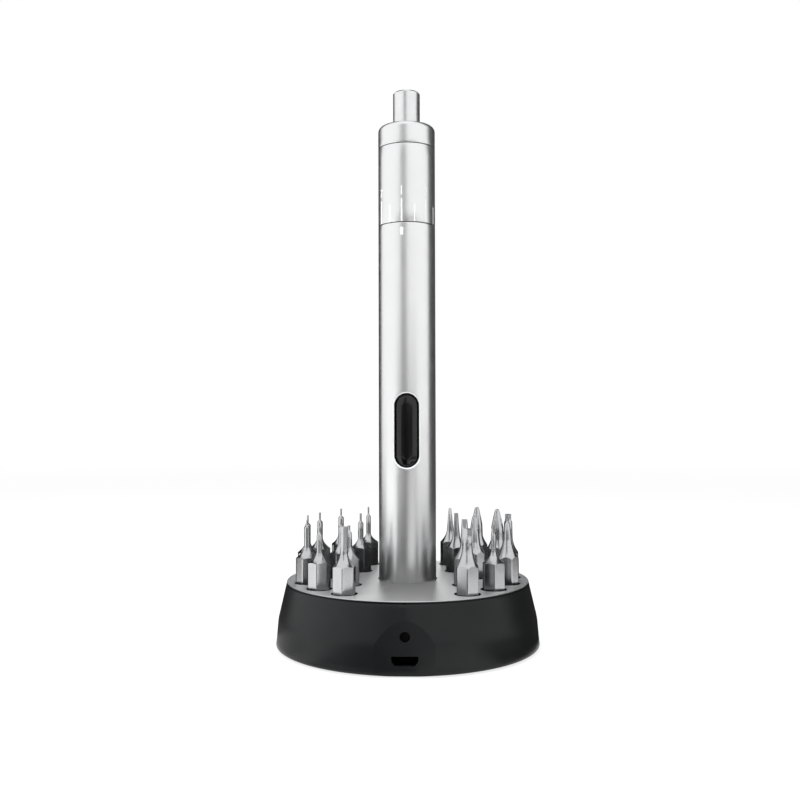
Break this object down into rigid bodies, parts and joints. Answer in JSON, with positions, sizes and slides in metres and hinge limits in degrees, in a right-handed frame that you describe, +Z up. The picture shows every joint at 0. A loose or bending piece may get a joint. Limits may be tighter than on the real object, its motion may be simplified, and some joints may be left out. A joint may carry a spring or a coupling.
{
  "type": "electric screwdriver",
  "caption": "Pen-shaped electric screwdriver standing nose up in a round charging dock that holds hex bits on both sides.",
  "frame": {"origin": "on the driver's axis at the table, under the middle of the dock", "axes": "+Z up along the driver's axis, -Y out of the dock's charging inlet and the driver's button, +X to the right seen from the front"},
  "size_m": [0.085, 0.0842, 0.18],
  "materials": {
    "satin_aluminium": "fine bead-blasted satin",
    "dock_plastic": "fine matte moulding",
    "black_plastic": "matte",
    "button_plastic": "satin",
    "smoked_lens": "smoked, polished",
    "port_steel": "dark plated",
    "rubber": "matte",
    "circuit_board": "solder mask",
    "contact_gold": "gold plated",
    "led": "clear resin",
    "steel": "machined",
    "frame_plastic": "matte",
    "magnet": "nickel plated",
    "cell_wrap": "shrink sleeve",
    "gear_brass": "cut brass",
    "chuck_steel": "satin",
    "bit_steel": "ground and satin plated"
  },
  "bodies": {
    "dock": {"base_shell": "dock_plastic", "top_plate": "satin_aluminium", "bit_tray": "black_plastic", "dock_cup": "black_plastic", "magnet_ring": "magnet", "ballast": "steel", "main_board": "circuit_board", "status_led": "led", "light_pipe": "smoked_lens", "usb_port": "port_steel", "contact_board": "circuit_board", "charge_pins": "contact_gold", "bottom_cover": "dock_plastic", "cover_screws": "steel", "base_pad": "rubber"},
    "driver": {"body_tube": "satin_aluminium", "tail_cap": "black_plastic", "tail_contacts": "contact_gold", "cell": "cell_wrap", "chassis": "black_plastic", "control_board": "circuit_board", "tact_switches": "steel", "button_bracket": "steel", "button_pin": "steel", "motor": "steel", "gear_case": "steel", "nose_frame": "frame_plastic", "sensor_board": "circuit_board", "spindle_bearings": "steel", "nose_cap": "satin_aluminium"},
    "button": {"rocker_button": "button_plastic"},
    "collar": {"torque_collar": "satin_aluminium", "collar_magnet": "magnet"},
    "chuck": {"chuck_spindle": "chuck_steel", "socket_magnet": "magnet", "planet_carrier": "steel"},
    "pinion": {"motor_pinion": "gear_brass"},
    "planet_1": {"planet_gear_1": "gear_brass"},
    "planet_2": {"planet_gear_2": "gear_brass"},
    "planet_3": {"planet_gear_3": "gear_brass"},
    "bit_hex_key_2_body": {"bit_hex_key_2": "bit_steel"},
    "bit_pin_a_body": {"bit_pin_a": "bit_steel"},
    "bit_pin_b_body": {"bit_pin_b": "bit_steel"},
    "bit_pin_c_body": {"bit_pin_c": "bit_steel"},
    "bit_pin_d_body": {"bit_pin_d": "bit_steel"},
    "bit_pin_e_body": {"bit_pin_e": "bit_steel"},
    "bit_pin_f_body": {"bit_pin_f": "bit_steel"},
    "bit_pin_g_body": {"bit_pin_g": "bit_steel"},
    "bit_pin_h_body": {"bit_pin_h": "bit_steel"},
    "bit_pin_i_body": {"bit_pin_i": "bit_steel"},
    "bit_hex_key_25_body": {"bit_hex_key_25": "bit_steel"},
    "bit_tri_wing_body": {"bit_tri_wing": "bit_steel"},
    "bit_star_small_body": {"bit_star_small": "bit_steel"},
    "bit_star_large_body": {"bit_star_large": "bit_steel"},
    "bit_cross_2_body": {"bit_cross_2": "bit_steel"},
    "bit_cross_1_body": {"bit_cross_1": "bit_steel"},
    "bit_slot_narrow_body": {"bit_slot_narrow": "bit_steel"},
    "bit_slot_wide_body": {"bit_slot_wide": "bit_steel"},
    "bit_cross_0_body": {"bit_cross_0": "bit_steel"},
    "bit_slot_medium_body": {"bit_slot_medium": "bit_steel"}
  },
  "joints": [
    {"name": "driver_lift", "type": "slide", "parent": "dock", "child": "driver", "axis": [0, 0, 1], "range_m": [0, 0.04]},
    {"name": "button_rock", "type": "hinge", "parent": "driver", "child": "button", "pos_m": [0, -0.0062, 0.06915], "axis": [1, 0, 0], "range_deg": [-2, 2], "stiffness_Nm_per_rad": 0.02},
    {"name": "collar_turn", "type": "hinge", "parent": "driver", "child": "collar", "pos_m": [0, 0, 0.1484], "axis": [0, 0, 1], "range_deg": [-102.9, 205.7]},
    {"name": "chuck_spin", "type": "hinge", "parent": "driver", "child": "chuck", "pos_m": [0, 0, 0.16], "axis": [0, 0, 1], "continuous": true},
    {"name": "pinion_spin", "type": "hinge", "parent": "driver", "child": "pinion", "pos_m": [0, 0, 0.12], "axis": [0, 0, 1], "continuous": true},
    {"name": "planet_1_spin", "type": "hinge", "parent": "chuck", "child": "planet_1", "pos_m": [0.0042, 0, 0.124], "axis": [0, 0, 1], "continuous": true},
    {"name": "planet_2_spin", "type": "hinge", "parent": "chuck", "child": "planet_2", "pos_m": [-0.0021, 0.00364, 0.124], "axis": [0, 0, 1], "continuous": true},
    {"name": "planet_3_spin", "type": "hinge", "parent": "chuck", "child": "planet_3", "pos_m": [-0.0021, -0.00364, 0.124], "axis": [0, 0, 1], "continuous": true},
    {"name": "bit_hex_key_2_lift", "type": "slide", "parent": "dock", "child": "bit_hex_key_2_body", "axis": [0, 0, 1], "range_m": [0, 0.03]},
    {"name": "bit_pin_a_lift", "type": "slide", "parent": "dock", "child": "bit_pin_a_body", "axis": [0, 0, 1], "range_m": [0, 0.03]},
    {"name": "bit_pin_b_lift", "type": "slide", "parent": "dock", "child": "bit_pin_b_body", "axis": [0, 0, 1], "range_m": [0, 0.03]},
    {"name": "bit_pin_c_lift", "type": "slide", "parent": "dock", "child": "bit_pin_c_body", "axis": [0, 0, 1], "range_m": [0, 0.03]},
    {"name": "bit_pin_d_lift", "type": "slide", "parent": "dock", "child": "bit_pin_d_body", "axis": [0, 0, 1], "range_m": [0, 0.03]},
    {"name": "bit_pin_e_lift", "type": "slide", "parent": "dock", "child": "bit_pin_e_body", "axis": [0, 0, 1], "range_m": [0, 0.03]},
    {"name": "bit_pin_f_lift", "type": "slide", "parent": "dock", "child": "bit_pin_f_body", "axis": [0, 0, 1], "range_m": [0, 0.03]},
    {"name": "bit_pin_g_lift", "type": "slide", "parent": "dock", "child": "bit_pin_g_body", "axis": [0, 0, 1], "range_m": [0, 0.03]},
    {"name": "bit_pin_h_lift", "type": "slide", "parent": "dock", "child": "bit_pin_h_body", "axis": [0, 0, 1], "range_m": [0, 0.03]},
    {"name": "bit_pin_i_lift", "type": "slide", "parent": "dock", "child": "bit_pin_i_body", "axis": [0, 0, 1], "range_m": [0, 0.03]},
    {"name": "bit_hex_key_25_lift", "type": "slide", "parent": "dock", "child": "bit_hex_key_25_body", "axis": [0, 0, 1], "range_m": [0, 0.03]},
    {"name": "bit_tri_wing_lift", "type": "slide", "parent": "dock", "child": "bit_tri_wing_body", "axis": [0, 0, 1], "range_m": [0, 0.03]},
    {"name": "bit_star_small_lift", "type": "slide", "parent": "dock", "child": "bit_star_small_body", "axis": [0, 0, 1], "range_m": [0, 0.03]},
    {"name": "bit_star_large_lift", "type": "slide", "parent": "dock", "child": "bit_star_large_body", "axis": [0, 0, 1], "range_m": [0, 0.03]},
    {"name": "bit_cross_2_lift", "type": "slide", "parent": "dock", "child": "bit_cross_2_body", "axis": [0, 0, 1], "range_m": [0, 0.03]},
    {"name": "bit_cross_1_lift", "type": "slide", "parent": "dock", "child": "bit_cross_1_body", "axis": [0, 0, 1], "range_m": [0, 0.03]},
    {"name": "bit_slot_narrow_lift", "type": "slide", "parent": "dock", "child": "bit_slot_narrow_body", "axis": [0, 0, 1], "range_m": [0, 0.03]},
    {"name": "bit_slot_wide_lift", "type": "slide", "parent": "dock", "child": "bit_slot_wide_body", "axis": [0, 0, 1], "range_m": [0, 0.03]},
    {"name": "bit_cross_0_lift", "type": "slide", "parent": "dock", "child": "bit_cross_0_body", "axis": [0, 0, 1], "range_m": [0, 0.03]},
    {"name": "bit_slot_medium_lift", "type": "slide", "parent": "dock", "child": "bit_slot_medium_body", "axis": [0, 0, 1], "range_m": [0, 0.03]}
  ],
  "couplings": [
    {"joint": "pinion_spin", "follows": "chuck_spin", "ratio": 3.5},
    {"joint": "planet_1_spin", "follows": "chuck_spin", "ratio": -3.3333},
    {"joint": "planet_2_spin", "follows": "chuck_spin", "ratio": -3.3333},
    {"joint": "planet_3_spin", "follows": "chuck_spin", "ratio": -3.3333}
  ]
}
